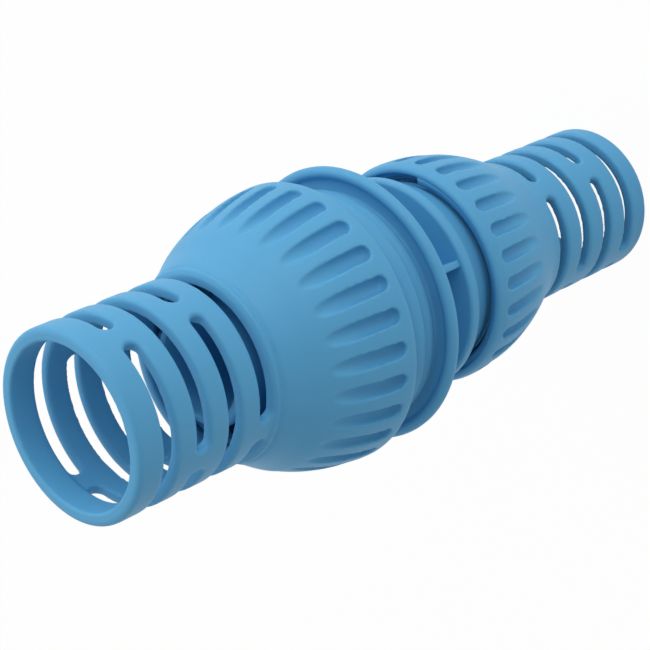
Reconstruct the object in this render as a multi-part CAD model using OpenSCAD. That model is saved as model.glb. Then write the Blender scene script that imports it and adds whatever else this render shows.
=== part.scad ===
// Straight reducing hose coupling, 1 inch hose to 3/4 inch hose, all sizes in mm.
// It stands on its small end: z = 0 is the small sleeve's rim and +Z runs up the axis to the large mouth.
// At angle 0 (+X) lie the bridges of the first and third slot rows of the large sleeve.

/* [Overall] */
total_h = 162; // [150:0.5:175]

/* [Large nut] */
large_sleeve_r = 20; // [18:0.1:22]
large_hose_r = 16.75; // [15:0.05:17.5]
hose_gap = 0.35; // [0.1:0.05:0.5]
large_rim_z = 97; // [90:0.5:105]
large_dome_top_r = 30.4; // [27:0.1:33]
large_dome_mid_z = 96; // [92:0.5:100]
large_dome_arc_r = 48; // [42:0.5:60]
large_rim_wall = 4.5; // [3.5:0.1:6]
large_wall = 2.8; // [2:0.1:4]

/* [Small nut] */
small_sleeve_r = 17.1; // [15:0.1:19]
small_hose_r = 13.95; // [12:0.05:15]
small_rim_z = 64.5; // [60:0.5:70]
small_dome_top_r = 25.1; // [22:0.1:28]
small_dome_mid_z = 61.5; // [56:0.5:64]
small_dome_arc_r = 44.5; // [38:0.5:60]
small_rim_wall = 4.3; // [3.5:0.1:6]
small_wall = 2.6; // [2:0.1:4]

/* [Slots] */
slot_w = 3.6; // [2.5:0.1:5]
large_bridge = 5.6; // [3:0.1:8]
small_bridge = 5.2; // [3:0.1:8]
large_slot_first = 8.1; // [7.5:0.1:10]
large_slot_pitch = 8.3; // [7:0.1:10]
small_slot_first = 6.9; // [6.5:0.1:9]
small_slot_pitch = 8.2; // [7:0.1:10]
slot_rows = 4; // [2:1:5]
small_slot_turn = -15; // [-45:1:45]
land_depth = 0.25; // [0.1:0.05:0.5]
rim_round = 0.95; // [0.4:0.05:1.1]

/* [Flutes] */
large_flutes = 26; // [18:1:36]
large_flute_r = 2.1; // [1:0.1:3]
large_flute_depth = 1.9; // [0.5:0.1:2.5]
large_flute_margin = 1.8; // [1:0.1:4]
large_flute_len = 16.8; // [8:0.1:24]
large_flute_turn = 4.8; // [0:0.1:13]
small_flutes = 24; // [16:1:32]
small_flute_r = 2.3; // [1:0.1:3]
small_flute_depth = 1.7; // [0.5:0.1:2]
small_flute_margin = 3.4; // [2:0.1:5]
small_flute_len = 13.6; // [6:0.1:18]
small_flute_cut = 2; // [1:0.1:4]
small_flute_turn = 1.3; // [0:0.1:14]
nut_round = 1.4; // [0.5:0.1:2]

/* [Coupler body] */
thread_gap = 0.4; // [0.3:0.05:0.6]
barrel_wall = 3.2; // [2:0.1:4]
large_barrel_z = 107; // [103:0.5:110]
small_barrel_z = 51.5; // [47:0.5:55]
collar_1_step = 1.1; // [0.6:0.1:2]
collar_1_h = 5.8; // [3:0.1:8]
collar_2_step = 0.3; // [0.1:0.1:1]
collar_2_h = 4; // [2:0.1:6]
flange_1_inset = 0.2; // [0:0.1:3]
flange_1_h = 3.6; // [2:0.1:6]
flange_1_dish = 1.4; // [0:0.1:2.5]
flange_1_round = 1.1; // [0.5:0.1:1.5]
flange_2_r = 23.9; // [22:0.1:27]
flange_2_z = 69.3; // [66:0.1:74]
flange_2_h = 3.2; // [2:0.1:5]
flange_2_round = 1; // [0.5:0.1:1.5]
core_r = 14; // [12:0.5:20]
webs = 4; // [0:1:8]
web_t = 1.6; // [1:0.1:3]
web_turn = -41.5; // [-90:0.5:90]
web_inset = 1.2; // [0.5:0.1:3]
floor_t = 3.2; // [2:0.1:5]

/* [Hose tails] */
large_tail_z = 128; // [120:0.5:135]
large_tail_r = 12.5; // [11:0.1:14]
large_waterway_r = 10; // [8:0.1:12]
small_tail_z = 32; // [26:0.5:40]
small_tail_r = 9.4; // [8:0.1:11]
small_waterway_r = 7.4; // [6:0.1:9]
barb_h = 0.7; // [0.3:0.1:1.2]
barb_pitch = 5; // [3:0.1:8]
barbs = 4; // [2:1:6]
tail_lead = 4.5; // [2:0.1:6]
tail_tip_h = 1.2; // [0.5:0.1:2]
tail_tip = 0.8; // [0.3:0.1:1.2]

/* [Clamp rings] */
ring_gap = 0.5; // [0.3:0.05:1]
seat_gap = 0.3; // [0.1:0.05:0.5]
ring_base_h = 2.5; // [1.5:0.1:4]
finger_t = 2.4; // [1.5:0.1:3]
large_finger_z = 122.5; // [118:0.5:124]
small_finger_z = 39.5; // [37:0.5:44]
finger_slots = 12; // [6:1:20]
finger_slot_w = 1.8; // [1:0.1:3]
finger_slot_run = 0.3; // [0.1:0.1:1]

/* [Hidden] */
$fn = 96;
// the round ends are a hair narrower than the slots, because a cylinder tangent to them doesn't mesh
slot_step = 0.03;
e = 0.5;
// how far a cutting shape reaches, which is past every wall
reach = 2 * large_dome_top_r;
slot_cut_in = 6;
slot_cut_len = 10;
thread_relief = 3.5;
large_land_margin = 0.4;
small_land_margin = 0.2;
// a barb rises over this share of its pitch and ends at the next
barb_rise = 0.72;
barb_back = 0.8;
web_sink = 0.4;
taper_low = 2;
taper_high = 1.5;
large_thread_bore_r = large_dome_top_r - large_rim_wall;
small_thread_bore_r = small_dome_top_r - small_rim_wall;
large_bore_r = large_hose_r + hose_gap;
small_bore_r = small_hose_r + hose_gap;
large_slot_bore_r = large_bore_r + land_depth;
small_slot_bore_r = small_bore_r + land_depth;
large_land_end = total_h - large_slot_first + slot_w / 2 + large_land_margin;
small_land_end = small_slot_first - slot_w / 2 - small_land_margin;
large_dome_axis = large_dome_top_r - large_dome_arc_r;
small_dome_axis = small_dome_top_r - small_dome_arc_r;
large_neck_z = large_dome_mid_z + sqrt(pow(large_dome_arc_r, 2) - pow(large_sleeve_r - large_dome_axis, 2));
small_neck_z = small_dome_mid_z - sqrt(pow(small_dome_arc_r, 2) - pow(small_sleeve_r - small_dome_axis, 2));
large_rim_r = large_dome_axis + sqrt(pow(large_dome_arc_r, 2) - pow(large_rim_z + nut_round - large_dome_mid_z, 2));
small_rim_r = small_dome_axis + sqrt(pow(small_dome_arc_r, 2) - pow(small_rim_z - nut_round - small_dome_mid_z, 2));
large_barrel_r = large_thread_bore_r - thread_gap;
small_barrel_r = small_thread_bore_r - thread_gap;
collar_1_r = large_barrel_r + collar_1_step;
collar_2_r = large_barrel_r + collar_2_step;
flange_1_r = large_dome_top_r - flange_1_inset;
collar_1_top = large_rim_z - seat_gap;
collar_2_top = collar_1_top - collar_1_h;
flange_1_top = collar_2_top - collar_2_h;
flange_1_z = flange_1_top - flange_1_h;

// Outside corner of a profile at (x, z), rounded with radius rad; sx and sz point into the material.
module corner(x, z, sx, sz, rad) {
    difference() {
        translate([sx > 0 ? x - 1 : x - rad, sz > 0 ? z - 1 : z - rad]) square([rad + 1, rad + 1]);
        translate([x + sx * rad, z + sz * rad]) circle(r = rad);
    }
}

// Half disc of the dome's arc, cut between two heights.
module dome_2d(axis_r, mid_z, rad, z0, z1) {
    intersection() {
        translate([axis_r, mid_z]) circle(r = rad);
        translate([0, z0]) square([reach, z1 - z0]);
    }
}

// Slots of one row: two long openings with round ends, parted by two bridges at turn and turn + 180.
module slot_row(z, r_out, bridge, turn) {
    tip = (bridge / 2 + slot_w / 2) / r_out * 180 / PI;
    for (k = [0, 180]) {
        rotate([0, 0, turn + k + tip])
            rotate_extrude(angle = 180 - 2 * tip)
                translate([r_out - slot_cut_in, z - slot_w / 2]) square([slot_cut_len, slot_w]);
        for (a = [tip, 180 - tip])
            rotate([0, 0, turn + k + a]) translate([r_out - slot_cut_in, 0, z])
                rotate([0, 90, 0]) cylinder(h = slot_cut_len, r = slot_w / 2 - slot_step);
    }
}

module large_nut_2d() {
    difference() {
        union() {
            translate([0, large_neck_z - 3]) square([large_sleeve_r, total_h - large_neck_z + 3]);
            dome_2d(large_dome_axis, large_dome_mid_z, large_dome_arc_r, large_rim_z, large_neck_z + 3);
        }
        translate([-e, large_neck_z - 3]) square([large_slot_bore_r + e, large_land_end - large_neck_z + 3]);
        translate([-e, large_land_end - e]) square([large_bore_r + e, total_h - large_land_end + 2 * e]);
        dome_2d(large_dome_axis, large_dome_mid_z, large_dome_arc_r - large_wall, large_barrel_z + thread_relief, large_neck_z - 2);
        translate([-e, large_rim_z - e]) square([large_thread_bore_r + e, large_barrel_z - large_rim_z + thread_relief + 0.1 + e]);
        corner(large_sleeve_r, total_h, -1, -1, rim_round);
        corner(large_bore_r, total_h, 1, -1, rim_round);
        corner(large_rim_r, large_rim_z, -1, 1, nut_round);
    }
}

module large_nut() {
    z0 = large_rim_z + large_flute_margin;
    z1 = z0 + large_flute_len;
    dome_r0 = large_dome_axis + sqrt(pow(large_dome_arc_r, 2) - pow(z0 - large_dome_mid_z, 2));
    dome_r1 = large_dome_axis + sqrt(pow(large_dome_arc_r, 2) - pow(z1 - large_dome_mid_z, 2));
    a0 = dome_r0 - large_flute_depth + large_flute_r;
    a1 = dome_r1 + large_flute_r;
    lean = atan((a0 - a1) / (z1 - z0));
    difference() {
        rotate_extrude() large_nut_2d();
        for (i = [0 : slot_rows - 1])
            slot_row(total_h - large_slot_first - i * large_slot_pitch, large_sleeve_r, large_bridge, i % 2 == 0 ? 0 : 90);
        for (k = [0 : large_flutes - 1])
            rotate([0, 0, large_flute_turn + k * 360 / large_flutes]) translate([a0, 0, z0])
                rotate([0, -lean, 0]) cylinder(h = large_flute_len, r = large_flute_r);
    }
}

module small_nut() {
    z0 = small_rim_z - small_flute_margin;
    z1 = z0 - small_flute_len;
    dome_r0 = small_dome_axis + sqrt(pow(small_dome_arc_r, 2) - pow(z0 - small_dome_mid_z, 2));
    dome_r1 = small_dome_axis + sqrt(pow(small_dome_arc_r, 2) - pow(z1 - small_dome_mid_z, 2));
    a0 = dome_r0 - small_flute_depth + small_flute_r;
    a1 = dome_r1 + small_flute_r;
    lean = atan((a1 - a0) / (z0 - z1));
    difference() {
        rotate([0, 0, small_flute_turn + 180 / small_flutes]) rotate_extrude() difference() {
            union() {
                square([small_sleeve_r, small_neck_z + 3]);
                dome_2d(small_dome_axis, small_dome_mid_z, small_dome_arc_r, small_neck_z - 3, small_rim_z);
            }
            translate([-e, small_land_end]) square([small_slot_bore_r + e, small_neck_z + 3 - small_land_end]);
            translate([-e, -e]) square([small_bore_r + e, small_land_end + 2 * e]);
            dome_2d(small_dome_axis, small_dome_mid_z, small_dome_arc_r - small_wall, small_neck_z - 2, small_barrel_z - thread_relief);
            translate([-e, small_barrel_z - thread_relief - 0.1])
                square([small_thread_bore_r + e, small_rim_z - small_barrel_z + thread_relief + 0.1 + e]);
            corner(small_sleeve_r, 0, -1, 1, rim_round);
            corner(small_bore_r, 0, 1, 1, rim_round);
            corner(small_rim_r, small_rim_z, -1, -1, nut_round);
        }
        for (i = [0 : slot_rows - 1])
            slot_row(small_slot_first + i * small_slot_pitch, small_sleeve_r, small_bridge,
                small_slot_turn + (i % 2 == 0 ? 90 : 0));
        for (k = [0 : small_flutes - 1])
            rotate([0, 0, small_flute_turn + k * 360 / small_flutes]) translate([a0, 0, z0])
                rotate([0, 180 - lean, 0]) cylinder(h = small_flute_len + small_flute_cut, r = small_flute_r);
    }
}

// Hose tail profile: plain lead at the tip, then barbs that hold the hose; up is 1 or -1.
module tail_2d(r, tip_z, root_z, up) {
    shoulder_z = tip_z - up * tail_tip_h;
    translate([0, min(shoulder_z, root_z)]) square([r, abs(shoulder_z - root_z)]);
    polygon([[0, shoulder_z - up * 0.1], [r, shoulder_z - up * 0.1], [r, shoulder_z], [r - tail_tip, tip_z], [0, tip_z]]);
    for (i = [0 : barbs - 1])
        polygon([
            [r - 1, shoulder_z - up * (tail_lead + i * barb_pitch)],
            [r, shoulder_z - up * (tail_lead + i * barb_pitch)],
            [r + barb_h, shoulder_z - up * (tail_lead + (i + barb_rise) * barb_pitch)],
            [r + barb_h, shoulder_z - up * (tail_lead + (i + barb_back) * barb_pitch)],
            [r - 1, shoulder_z - up * (tail_lead + (i + barb_back) * barb_pitch)]
        ]);
}

module body_2d() {
    difference() {
        union() {
            difference() {
                union() {
                    // large barrel, two collars and the core
                    translate([0, flange_1_z]) square([large_barrel_r, large_barrel_z - flange_1_z]);
                    translate([0, collar_2_top]) square([collar_1_r, collar_1_h]);
                    translate([0, flange_1_z]) square([collar_2_r, collar_2_top - flange_1_z]);
                    translate([0, flange_2_z]) square([core_r, flange_1_z - flange_2_z + e]);
                    // first flange, dished towards the large nut
                    difference() {
                        translate([0, flange_1_z]) square([flange_1_r, flange_1_h]);
                        polygon([[collar_2_r, flange_1_top + e], [collar_2_r, flange_1_top - flange_1_dish],
                            [flange_1_r - flange_1_round, flange_1_top], [flange_1_r - flange_1_round, flange_1_top + e]]);
                        corner(flange_1_r, flange_1_top, -1, -1, flange_1_round);
                        corner(flange_1_r, flange_1_z, -1, 1, flange_1_round);
                    }
                    // second flange
                    difference() {
                        translate([0, flange_2_z]) square([flange_2_r, flange_2_h]);
                        corner(flange_2_r, flange_2_z, -1, 1, flange_2_round);
                        corner(flange_2_r, flange_2_z + flange_2_h, -1, -1, flange_2_round);
                    }
                    // small barrel
                    translate([0, small_barrel_z]) square([small_barrel_r, flange_2_z - small_barrel_z + e]);
                }
                // pockets that take the hose ends
                translate([-e, flange_1_z + floor_t])
                    square([large_barrel_r - barrel_wall + e, large_barrel_z - flange_1_z]);
                translate([-e, small_barrel_z - e])
                    square([small_barrel_r - barrel_wall + e, flange_2_z + flange_2_h - floor_t - small_barrel_z + e]);
            }
            tail_2d(large_tail_r, large_tail_z, flange_1_z + 1, 1);
            tail_2d(small_tail_r, small_tail_z, flange_2_z + 1, -1);
        }
        waterway_2d();
    }
}

module coupler_body() {
    rotate_extrude() body_2d();
    for (k = [0 : webs - 1])
        rotate([0, 0, web_turn + k * 360 / webs])
            translate([core_r - 1, -web_t / 2, flange_2_z + flange_2_h - web_sink])
                cube([flange_2_r - web_inset - core_r + 1, web_t, flange_1_z - flange_2_z - flange_2_h + 2 * web_sink]);
}

module waterway_2d() {
    translate([-e, flange_1_z - 2]) square([large_waterway_r + e, large_tail_z - flange_1_z + 3]);
    translate([-e, small_tail_z - 1]) square([small_waterway_r + e, flange_2_z - small_tail_z + 4]);
    polygon([[-e, flange_2_z + taper_low], [small_waterway_r, flange_2_z + taper_low],
        [large_waterway_r, flange_1_z - taper_high], [-e, flange_1_z - taper_high]]);
}

// Split ring whose fingers follow the inside of a dome; z0 and z1 are the base, tip the fingers' end.
module clamp_ring(axis_r, mid_z, arc, r_base, r_in, z0, z1, tip) {
    base_low = min(z0, z1);
    finger_low = min(z1, tip);
    difference() {
        rotate_extrude() difference() {
            union() {
                translate([0, base_low]) square([r_base, abs(z1 - z0)]);
                difference() {
                    dome_2d(axis_r, mid_z, arc, min(z0, tip), max(z0, tip));
                    dome_2d(axis_r, mid_z, arc - finger_t, finger_low - e, finger_low + abs(tip - z1) + e);
                    translate([r_base, base_low]) square([reach, abs(z1 - z0)]);
                }
            }
            translate([-e, min(z0, tip) - e]) square([r_in + e, abs(tip - z0) + 2 * e]);
        }
        for (k = [1 : finger_slots - 1])
            rotate([0, 0, (k + 0.5) * 360 / finger_slots])
                translate([0, -finger_slot_w / 2, tip < z1 ? tip - e : z1 - finger_slot_run])
                    cube([reach, finger_slot_w, abs(tip - z1) + e + finger_slot_run]);
        // the one cut that parts the ring
        rotate([0, 0, 180 / finger_slots])
            translate([0, -finger_slot_w / 2, min(z0, tip) - e]) cube([reach, finger_slot_w, abs(tip - z0) + 2 * e]);
    }
}

module large_clamp_ring() {
    clamp_ring(large_dome_axis, large_dome_mid_z, large_dome_arc_r - large_wall - ring_gap,
        large_thread_bore_r - ring_gap, large_bore_r, large_barrel_z + seat_gap,
        large_barrel_z + seat_gap + ring_base_h, large_finger_z);
}

module small_clamp_ring() {
    clamp_ring(small_dome_axis, small_dome_mid_z, small_dome_arc_r - small_wall - ring_gap,
        small_thread_bore_r - ring_gap, small_bore_r, small_barrel_z - seat_gap,
        small_barrel_z - seat_gap - ring_base_h, small_finger_z);
}

coupler_body();
large_nut();
small_nut();
large_clamp_ring();
small_clamp_ring();
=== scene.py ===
import math

import bmesh
import bpy
from mathutils import Matrix, Vector


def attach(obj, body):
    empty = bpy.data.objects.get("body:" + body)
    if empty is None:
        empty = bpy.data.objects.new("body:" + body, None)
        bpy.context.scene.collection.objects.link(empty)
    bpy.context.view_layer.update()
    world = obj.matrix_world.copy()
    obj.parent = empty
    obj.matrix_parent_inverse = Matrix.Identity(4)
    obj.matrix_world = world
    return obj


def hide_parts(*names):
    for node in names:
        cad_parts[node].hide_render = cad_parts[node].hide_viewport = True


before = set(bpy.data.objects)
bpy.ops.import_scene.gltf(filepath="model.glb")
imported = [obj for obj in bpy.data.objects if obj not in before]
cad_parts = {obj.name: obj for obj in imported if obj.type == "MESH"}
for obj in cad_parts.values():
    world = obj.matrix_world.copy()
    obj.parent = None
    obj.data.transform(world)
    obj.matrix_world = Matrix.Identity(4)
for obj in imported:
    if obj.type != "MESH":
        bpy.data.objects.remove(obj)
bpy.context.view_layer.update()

# Large nut.
# A domed screw nut and its slotted hose sleeve in one injection moulding of blue polypropylene.
# It is turned from one profile, then the grip flutes and the slots are cut and every edge is softened.

MM = 0.001


def dome_radius(height, widest, widest_at, arc):
    """Radius of a nut's dome at a height."""
    return widest - arc + math.sqrt(arc**2 - (height - widest_at) ** 2)


def waisted(dome, sleeve, blend):
    """Radius where a dome runs into its sleeve with a soft hollow between them."""
    over = dome - sleeve
    return sleeve + (over + math.sqrt(over**2 + 4 * blend**2)) / 2


def arc_points(radius, height, bend, start, end, count):
    """Points on a small arc of a profile, angles in degrees."""
    turns = [math.radians(start + (end - start) * i / count) for i in range(count + 1)]
    return [(radius + bend * math.cos(t), height + bend * math.sin(t)) for t in turns]


def turned(points, steps):
    """A bmesh turned about the axis from a closed profile of (radius, height) points in mm."""
    bm = bmesh.new()
    verts = [bm.verts.new((r * MM, 0, h * MM)) for r, h in points]
    edges = [bm.edges.new(ends) for ends in zip(verts, verts[1:] + verts[:1])]
    bmesh.ops.spin(
        bm,
        geom=verts + edges,
        cent=(0, 0, 0),
        axis=(0, 0, 1),
        angle=2 * math.pi,
        steps=steps,
        use_merge=True,
    )
    bmesh.ops.recalc_face_normals(bm, faces=bm.faces)
    return bm


def as_object(name, bm):
    """Turns a bmesh into a smooth-shaded object at the origin."""
    for face in bm.faces:
        face.smooth = True
    mesh = bpy.data.meshes.new(name)
    bm.to_mesh(mesh)
    bm.free()
    piece = bpy.data.objects.new(name, mesh)
    bpy.context.collection.objects.link(piece)
    return piece


def flute_cutter(count, turn, radius, deep_end, deep_axis, thin_end, thin_axis):
    """Round-ended rods that lean out of the dome; each cuts one grip flute."""
    bm = bmesh.new()
    way = 1 if thin_end > deep_end else -1
    low = deep_end + way * radius
    length = math.hypot(thin_end - low, thin_axis - deep_axis)
    lean = math.atan2(thin_axis - deep_axis, thin_end - low)
    for k in range(count):
        rod = bmesh.ops.create_uvsphere(bm, u_segments=28, v_segments=14, radius=radius * MM)["verts"]
        tip = [vert for vert in rod if vert.co.z > 0.01 * MM]
        bmesh.ops.translate(bm, vec=(0, 0, length * MM), verts=tip)
        bmesh.ops.rotate(bm, cent=(0, 0, 0), matrix=Matrix.Rotation(lean, 3, "Y"), verts=rod)
        bmesh.ops.translate(bm, vec=(deep_axis * MM, 0, low * MM), verts=rod)
        spot = Matrix.Rotation(math.radians(turn) + 2 * math.pi * k / count, 3, "Z")
        bmesh.ops.rotate(bm, cent=(0, 0, 0), matrix=spot, verts=rod)
    return as_object("flute_cutter", bm)


SLOT_STEPS = 56
CAP_STEPS = 6
CAP_END = 0.06


def slot_cutter(rows, inner, outer, width, bridge, sleeve):
    """Round-ended bars bent around the axis, two to each (height, turn) row."""
    bm = bmesh.new()
    half = width / 2
    for height, turn in rows:
        for side in (0, math.pi):
            end = (bridge / 2 + half) / sleeve
            start = math.radians(turn) + side + end
            middle = Vector((math.cos(start), math.sin(start), 0)) * (inner + outer) / 2 * MM
            middle.z = height * MM
            face = bmesh.ops.create_grid(bm, x_segments=1, y_segments=1, size=0.5)["verts"]
            bmesh.ops.scale(bm, vec=((outer - inner) * MM, width * MM, 1), verts=face)
            bmesh.ops.rotate(bm, cent=(0, 0, 0), matrix=Matrix.Rotation(math.pi / 2, 3, "X"), verts=face)
            bmesh.ops.rotate(bm, cent=(0, 0, 0), matrix=Matrix.Rotation(start, 3, "Z"), verts=face)
            bmesh.ops.translate(bm, vec=middle, verts=face)
            first = face[0].link_faces[0]
            bar = bmesh.ops.spin(
                bm,
                geom=[first] + list(first.edges) + list(first.verts),
                cent=(0, 0, 0),
                axis=(0, 0, 1),
                angle=math.pi - 2 * end,
                steps=SLOT_STEPS,
            )["geom_last"]
            last = next(part for part in bar if isinstance(part, bmesh.types.BMFace))
            for cap, way in ((first, -1), (last, 1)):
                tall = 1.0
                shifted = 0.0
                for step in range(1, CAP_STEPS + 1):
                    lean = step * math.pi / 2 / CAP_STEPS
                    cap = bmesh.ops.extrude_discrete_faces(bm, faces=[cap])["faces"][0]
                    onward = Matrix.Rotation(way * half / sleeve * (math.sin(lean) - shifted), 3, "Z")
                    bmesh.ops.rotate(bm, cent=(0, 0, 0), matrix=onward, verts=cap.verts)
                    lower = max(math.cos(lean), CAP_END)
                    about = Matrix.Translation((0, 0, -height * MM))
                    bmesh.ops.scale(bm, vec=(1, 1, lower / tall), space=about, verts=cap.verts)
                    tall = lower
                    shifted = math.sin(lean)
    bmesh.ops.recalc_face_normals(bm, faces=bm.faces)
    return as_object("slot_cutter", bm)


def slot_cutters(rows, inner, outer, width, bridge, sleeve, lip):
    """The cut through the sleeve, and a wider, shallower one that eases the slots' outer edges."""
    through = slot_cutter(rows, inner, outer, width, bridge, sleeve)
    shallow = slot_cutter(rows, sleeve - lip / 2, outer, width + lip, bridge - lip, sleeve)
    return [through, shallow]


def moulded(piece, cutters, grid, rounds, keep):
    """Makes the cuts, then evens the mesh out so that every edge turns as soft as on a moulding."""
    for cutter in cutters:
        cut = piece.modifiers.new("cut", "BOOLEAN")
        cut.operation = "DIFFERENCE"
        cut.solver = "EXACT"
        cut.object = cutter
    even = piece.modifiers.new("even mesh", "REMESH")
    even.mode = "VOXEL"
    even.voxel_size = grid * MM
    even.use_smooth_shade = True
    soft = piece.modifiers.new("soft edges", "SMOOTH")
    soft.factor = 0.5
    soft.iterations = rounds
    thin = piece.modifiers.new("fewer faces", "DECIMATE")
    thin.ratio = keep
    shown = piece.evaluated_get(bpy.context.evaluated_depsgraph_get())
    mesh = bpy.data.meshes.new_from_object(shown)
    piece.modifiers.clear()
    piece.data = mesh
    for cutter in cutters:
        bpy.data.objects.remove(cutter)


def blue_polypropylene():
    """Matte blue plastic with the fine grain of a spark-eroded mould and a hint of cloudiness."""
    material = bpy.data.materials.new("blue polypropylene")
    material.use_nodes = True
    tree = material.node_tree
    skin = tree.nodes["Principled BSDF"]
    skin.inputs["Roughness"].default_value = 0.5
    skin.inputs["Specular IOR Level"].default_value = 0.25
    place = tree.nodes.new("ShaderNodeTexCoord")
    grain = tree.nodes.new("ShaderNodeTexNoise")
    grain.inputs["Scale"].default_value = 1500
    grain.inputs["Detail"].default_value = 3
    bump = tree.nodes.new("ShaderNodeBump")
    bump.inputs["Strength"].default_value = 0.12
    bump.inputs["Distance"].default_value = 0.0002
    cloud = tree.nodes.new("ShaderNodeTexNoise")
    cloud.inputs["Scale"].default_value = 60
    tint = tree.nodes.new("ShaderNodeMix")
    tint.data_type = "RGBA"
    tint.inputs["A"].default_value = (0.094, 0.370, 0.640, 1)
    tint.inputs["B"].default_value = (0.103, 0.392, 0.668, 1)
    tree.links.new(place.outputs["Object"], grain.inputs["Vector"])
    tree.links.new(grain.outputs["Fac"], bump.inputs["Height"])
    tree.links.new(bump.outputs["Normal"], skin.inputs["Normal"])
    tree.links.new(place.outputs["Object"], cloud.inputs["Vector"])
    tree.links.new(cloud.outputs["Fac"], tint.inputs["Factor"])
    tree.links.new(tint.outputs["Result"], skin.inputs["Base Color"])
    return material


plastic = blue_polypropylene()

SLEEVE = 20.0
BORE, SLOT_BORE = 17.1, 17.6
MOUTH, NECK, RIM = 162.0, 125.4, 97.0
DOME, DOME_AT, DOME_ARC = 30.4, 96.0, 48.0
DOME_WALL = 2.8
HOLLOW_DEPTH, HOLLOW_AT, HOLLOW_REACH = 0.45, 120.7, 2.6
MOUTH_ROUNDING, MOUTH_EDGE = 1.1, 0.25


def large_dome(height, wall=0.0):
    """Outer line of the large dome, a little hollow above its shoulder, or its inside a wall further in."""
    hollow = HOLLOW_DEPTH * math.exp(-(((height - HOLLOW_AT) / HOLLOW_REACH) ** 2))
    return dome_radius(height, DOME - wall, DOME_AT, DOME_ARC - wall) - hollow


large_line = (
    [(26.3, RIM), (29.6, RIM)]
    + arc_points(29.75, RIM + 0.5, 0.5, -90, 0, 3)
    + [(waisted(large_dome(h), SLEEVE, 0.55), h) for h in range(98, 126)]
    + [(20.35, NECK), (20.2, 125.6), (20.5, 126.0), (20.6, 126.4), (20.45, 126.9), (SLEEVE, 127.3)]
    + arc_points(SLEEVE - MOUTH_ROUNDING, MOUTH - MOUTH_ROUNDING, MOUTH_ROUNDING, 0, 90, 5)
    + arc_points(BORE + MOUTH_EDGE, MOUTH - MOUTH_EDGE, MOUTH_EDGE, 90, 180, 3)
    + [(BORE, 156.2), (SLOT_BORE, 155.8), (SLOT_BORE, 124.2)]
    + [(large_dome(h, DOME_WALL), h) for h in range(123, 111, -1)]
    + [(25.9, 110.6), (25.9, 97.4)]
)
large_nut = as_object("large_nut_moulding", turned(large_line, 180))
large_slots = slot_cutters(
    rows=[(153.9, -0.4), (145.6, 89.4), (137.3, -0.4), (129.0, 89.4)],
    inner=14.5,
    outer=24.5,
    width=3.25,
    bridge=5.0,
    sleeve=SLEEVE,
    lip=0.9,
)
large_flutes = flute_cutter(
    count=27,
    turn=4.65,
    radius=1.7,
    deep_end=99.9,
    deep_axis=29.5,
    thin_end=116.4,
    thin_axis=27.3,
)
moulded(large_nut, [large_flutes] + large_slots, grid=0.36, rounds=3, keep=0.45)
large_nut.data.materials.append(plastic)
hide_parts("large_nut")
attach(large_nut, "large_nut_screw")

# Small nut.
# The same kind of moulding for the thinner hose. Its flutes are shorter and wider, its rim is
# rounder, and its dome runs straight into the sleeve.

SMALL_SLEEVE = 17.15
SMALL_BORE, SMALL_SLOT_BORE = 14.3, 14.75
SMALL_RIM = 64.5
SMALL_DOME, SMALL_DOME_AT, SMALL_DOME_ARC = 25.1, 61.5, 44.5
SMALL_DOME_WALL = 2.6
SMALL_RIM_ROUNDING = 1.3
SMALL_MOUTH_ROUNDING, SMALL_MOUTH_EDGE = 1.1, 0.5


def small_dome(height, wall=0.0):
    """Outer line of the small dome, or its inside a wall further in."""
    return dome_radius(height, SMALL_DOME - wall, SMALL_DOME_AT, SMALL_DOME_ARC - wall)


small_line = (
    [(20.8, 60.2), (23.0, 60.8), (23.1, 63.9), (23.3, SMALL_RIM - 0.1)]
    + arc_points(23.6, SMALL_RIM - SMALL_RIM_ROUNDING, SMALL_RIM_ROUNDING, 90, 0, 5)
    + [(waisted(small_dome(h), SMALL_SLEEVE, 0.75), h) for h in range(62, 26, -1)]
    + arc_points(SMALL_SLEEVE - SMALL_MOUTH_ROUNDING, SMALL_MOUTH_ROUNDING, SMALL_MOUTH_ROUNDING, 0, -90, 5)
    + arc_points(SMALL_BORE + SMALL_MOUTH_EDGE, SMALL_MOUTH_EDGE, SMALL_MOUTH_EDGE, -90, -180, 3)
    + [(SMALL_BORE, 4.9), (SMALL_SLOT_BORE, 5.3), (SMALL_SLOT_BORE, 37)]
    + [(small_dome(h, SMALL_DOME_WALL), h) for h in range(38, 48)]
    + [(20.8, 48.1)]
)
small_nut = as_object("small_nut_moulding", turned(small_line, 180))
small_slots = slot_cutters(
    rows=[(6.9, 76), (15.1, -17.4), (23.3, 76), (31.5, -17.4)],
    inner=12.0,
    outer=21.0,
    width=3.0,
    bridge=4.9,
    sleeve=SMALL_SLEEVE,
    lip=0.75,
)
small_flutes = flute_cutter(
    count=26,
    turn=-5.9,
    radius=1.45,
    deep_end=61.7,
    deep_axis=24.5,
    thin_end=46.6,
    thin_axis=24.0,
)
moulded(small_nut, [small_flutes] + small_slots, grid=0.34, rounds=3, keep=0.45)
small_nut.data.materials.append(plastic)
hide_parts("small_nut")
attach(small_nut, "small_nut_screw")

# Coupler body.
# One injection moulding of the same plastic, which both nuts screw on. It has two threaded barrels, two
# collars, a dished flange, four thin webs, a second flange and a barbed tail for each hose, all hollow.

TAIL_LEAD, BARB_PITCH, BARB_STEP = 5.7, 5, 0.7
BARB_SHOULDER, BARB_CREST = 4.0, 3.6


def tail_points(radius, tip, up):
    """Outer line of a hose tail from its root to its tip: four barbs and a plain lead."""
    points = []
    for barb in (3, 2, 1, 0):
        base = tip - up * (TAIL_LEAD + barb * BARB_PITCH)
        crest = radius + BARB_STEP
        points += [(crest, base - up * BARB_SHOULDER), (crest, base - up * BARB_CREST), (radius, base)]
    return points + [(radius, tip - up * 1.2), (radius - 0.3, tip - up * 0.4), (radius - 0.8, tip)]


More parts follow.
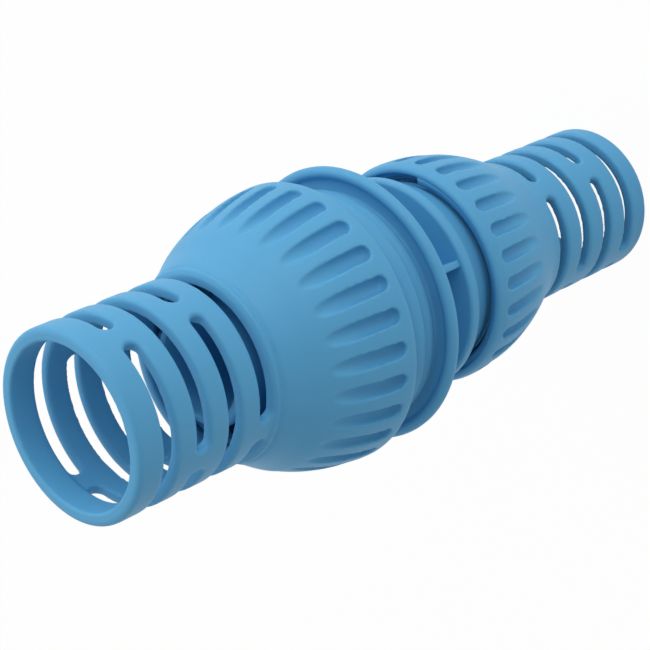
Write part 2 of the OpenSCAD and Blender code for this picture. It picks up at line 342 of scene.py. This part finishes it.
body_line = (
    [(7.4, 32.0)]
    + list(reversed(tail_points(9.4, 32.0, -1)))
    + [(9.4, 68.6), (10.0, 69.3), (16.6, 69.3), (17.2, 68.7), (17.2, 51.9), (17.5, 51.5)]
    + [(20.0, 51.5), (20.4, 51.9), (20.4, 63.6), (21.2, 64.6)]
    + arc_points(21.8, 68.7, 0.6, 180, 90, 3)
    + arc_points(22.8, 70.4, 1.1, -90, 0, 4)
    + arc_points(23.1, 71.6, 0.8, 0, 90, 4)
    + [(22.6, 72.4), (15.5, 72.7), (14.4, 73.6), (14.0, 74.8)]
    + [(14.0, 81.5), (14.6, 82.8), (16.0, 83.3)]
    + arc_points(28.85, 84.85, 1.35, -90, 130, 12)
    + [(27.6, 85.4), (27.0, 85.2), (25.2, 85.2), (24.7, 85.7), (24.7, 86.9)]
    + arc_points(25.6, 87.2, 0.2, -90, 0, 3)
    + arc_points(22.6, 87.4, 3.2, 0, 50, 8)
    + arc_points(26.25, 90.4, 0.2, -90, 0, 3)
    + arc_points(21.85, 90.6, 4.6, 0, 38, 8)
    + [(25.5, 106.6), (25.1, 107), (22.6, 107), (22.3, 106.7), (22.3, 87.2)]
    + [(21.6, 86.5), (13.4, 86.5), (12.5, 87.2)]
    + tail_points(12.5, 128.0, 1)
    + [(10.0, 128.0), (10.0, 81.8), (7.4, 71.3)]
)
body = as_object("coupler_body_moulding", turned(body_line, 192))
body.modifiers.new("flat faces shade flat", "WEIGHTED_NORMAL")
body.data.materials.append(plastic)
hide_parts("coupler_body")
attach(body, "coupler")

WEB_SIZE = Vector((9.6, 1.6, 11.4)) * MM
WEB_MIDDLE = Vector((18.2, 0, 77.9)) * MM
WEB_TURN = -41.5
WEB_EDGE = 0.35 * MM

bm = bmesh.new()
for quarter in range(4):
    web = bmesh.ops.create_cube(bm, size=1)["verts"]
    bmesh.ops.scale(bm, vec=WEB_SIZE, verts=web)
    bmesh.ops.translate(bm, vec=WEB_MIDDLE, verts=web)
    turn = Matrix.Rotation(math.radians(90 * quarter + WEB_TURN), 3, "Z")
    bmesh.ops.rotate(bm, cent=(0, 0, 0), matrix=turn, verts=web)
bmesh.ops.bevel(
    bm,
    geom=bm.edges[:],
    offset=WEB_EDGE,
    segments=3,
    profile=0.5,
    affect="EDGES",
    material=-1,
)
webs = as_object("coupler_webs", bm)
webs.data.materials.append(plastic)
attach(webs, "coupler")


THREAD_PITCH = 3 * MM
STEPS_A_TURN = 72


def thread_ridge(name, rows, start, low, turns, rider):
    """One helical ridge of the thread, from its section's (radius, height) points."""
    bm = bmesh.new()
    c, s = math.cos(math.radians(start)), math.sin(math.radians(start))
    face = bm.faces.new([bm.verts.new((r * c * MM, r * s * MM, (low + h) * MM)) for r, h in rows])
    bmesh.ops.spin(
        bm,
        geom=[face] + list(face.verts) + list(face.edges),
        cent=(0, 0, 0),
        axis=(0, 0, 1),
        dvec=(0, 0, THREAD_PITCH / STEPS_A_TURN),
        angle=turns * 2 * math.pi,
        steps=round(turns * STEPS_A_TURN),
    )
    bmesh.ops.recalc_face_normals(bm, faces=bm.faces)
    ridge = as_object(name, bm)
    ridge.data.materials.append(plastic)
    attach(ridge, rider)


small_crest = [(20.1, -0.75), (20.76, -0.25), (20.76, 0.25), (20.1, 0.75)]
large_crest = [(25.2, -0.75), (25.86, -0.25), (25.86, 0.25), (25.2, 0.75)]
nut_crest = [(23.4, -0.7), (21.8, -0.4), (21.8, 0.4), (23.4, 0.7)]
thread_ridge("small_barrel_thread", small_crest, start=20, low=53.0, turns=4.6, rider="coupler")
thread_ridge("large_barrel_thread", large_crest, start=0, low=98.6, turns=2.4, rider="coupler")
thread_ridge("small_nut_thread", nut_crest, start=16, low=60.6, turns=1.0, rider="small_nut_screw")

# Clamp rings.
# Split rings of the same plastic. Each lies loose between a dome and a tail, where the nut presses
# its fingers onto the hose, and they show through the sleeve's slots.

for node in ("large_clamp_ring", "small_clamp_ring"):
    ring = bpy.data.objects[node]
    ring.data.materials.clear()
    ring.data.materials.append(plastic)

# Floor and backdrop.
# A white table top and white surround, as in a catalogue picture. The camera sees them white,
# while the light that they give the object stays plain.


def seen_directly(tree):
    """A value of 1 for rays that should find plain white."""
    rays = tree.nodes.new("ShaderNodeLightPath")
    either = tree.nodes.new("ShaderNodeMath")
    either.operation = "MAXIMUM"
    any_of = tree.nodes.new("ShaderNodeMath")
    any_of.operation = "MAXIMUM"
    tree.links.new(rays.outputs["Is Camera Ray"], either.inputs[0])
    tree.links.new(rays.outputs["Is Glossy Ray"], either.inputs[1])
    tree.links.new(either.outputs[0], any_of.inputs[0])
    tree.links.new(rays.outputs["Is Transmission Ray"], any_of.inputs[1])
    return any_of


bm = bmesh.new()
bmesh.ops.create_grid(bm, x_segments=1, y_segments=1, size=3)
floor = as_object("floor", bm)
paper = bpy.data.materials.new("white paper")
paper.use_nodes = True
tree = paper.node_tree
sheet = tree.nodes["Principled BSDF"]
sheet.inputs["Base Color"].default_value = (0.9, 0.9, 0.9, 1)
sheet.inputs["Roughness"].default_value = 1
glow = tree.nodes.new("ShaderNodeEmission")
glow.inputs["Color"].default_value = (1, 1, 1, 1)
keep_shadow = tree.nodes.new("ShaderNodeMath")
keep_shadow.operation = "MULTIPLY"
keep_shadow.inputs[1].default_value = 0.965
blend = tree.nodes.new("ShaderNodeMixShader")
tree.links.new(seen_directly(tree).outputs[0], keep_shadow.inputs[0])
tree.links.new(keep_shadow.outputs[0], blend.inputs[0])
tree.links.new(sheet.outputs[0], blend.inputs[1])
tree.links.new(glow.outputs[0], blend.inputs[2])
tree.links.new(blend.outputs[0], tree.nodes["Material Output"].inputs["Surface"])
floor.data.materials.append(paper)

world = bpy.data.worlds.new("studio")
bpy.context.scene.world = world
world.use_nodes = True
tree = world.node_tree
room = tree.nodes["Background"]
room.inputs["Color"].default_value = (1, 1, 1, 1)
room.inputs["Strength"].default_value = 0.38
white = tree.nodes.new("ShaderNodeBackground")
white.inputs["Color"].default_value = (1, 1, 1, 1)
white.inputs["Strength"].default_value = 1.0
blend = tree.nodes.new("ShaderNodeMixShader")
tree.links.new(seen_directly(tree).outputs[0], blend.inputs[0])
tree.links.new(room.outputs[0], blend.inputs[1])
tree.links.new(white.outputs[0], blend.inputs[2])
tree.links.new(blend.outputs[0], tree.nodes["World Output"].inputs["Surface"])

# Camera and lamps.
# The camera looks down into the large mouth and is rolled, so that the axis runs from the picture's
# lower left to its upper right. The lamps stand by the camera's own up, because the photo is lit
# from its top.


def aim(thing, place, look, up):
    """Puts a lamp or camera at a place, looking along look with up upwards."""
    back = -Vector(look).normalized()
    right = Vector(up).cross(back).normalized()
    turn = Matrix((right, back.cross(right), back)).transposed()
    thing.matrix_world = Matrix.Translation(place) @ turn.to_4x4()


camera = bpy.data.objects.new("camera", bpy.data.cameras.new("camera"))
bpy.context.collection.objects.link(camera)
camera.data.lens = 110.8
camera.data.sensor_width = 36
camera.data.clip_start, camera.data.clip_end = 0.01, 10
aim(camera, Vector((250.9, -191.5, 369.3)) * MM, (-0.6012, 0.4527, -0.6585), (0.7645, 0.5657, -0.3091))
bpy.context.scene.camera = camera


LAMP_SIZE = 0.6
OBJECT_MIDDLE = Vector((0, 0, 0.085))


def soft_lamp(name, aside, above, nearer, power):
    """A square soft lamp, placed from the middle of the object along the camera's own axes."""
    lamp = bpy.data.objects.new(name, bpy.data.lights.new(name, "AREA"))
    bpy.context.collection.objects.link(lamp)
    lamp.data.shape = "SQUARE"
    lamp.data.size = LAMP_SIZE
    lamp.data.energy = power
    axes = camera.matrix_world.to_3x3()
    place = OBJECT_MIDDLE + axes @ Vector((aside, above, nearer))
    aim(lamp, place, OBJECT_MIDDLE - place, axes @ Vector((0.1, 1, 0)))


soft_lamp("key", -0.61, 0.61, 0.26, 2.3)
soft_lamp("front", 0.0, 0.59, 0.68, 2.55)
soft_lamp("side", -0.86, 0.0, 0.26, 1.45)
soft_lamp("low", -0.63, -0.54, 0.36, 0.75)

bpy.context.scene.view_settings.view_transform = "Standard"
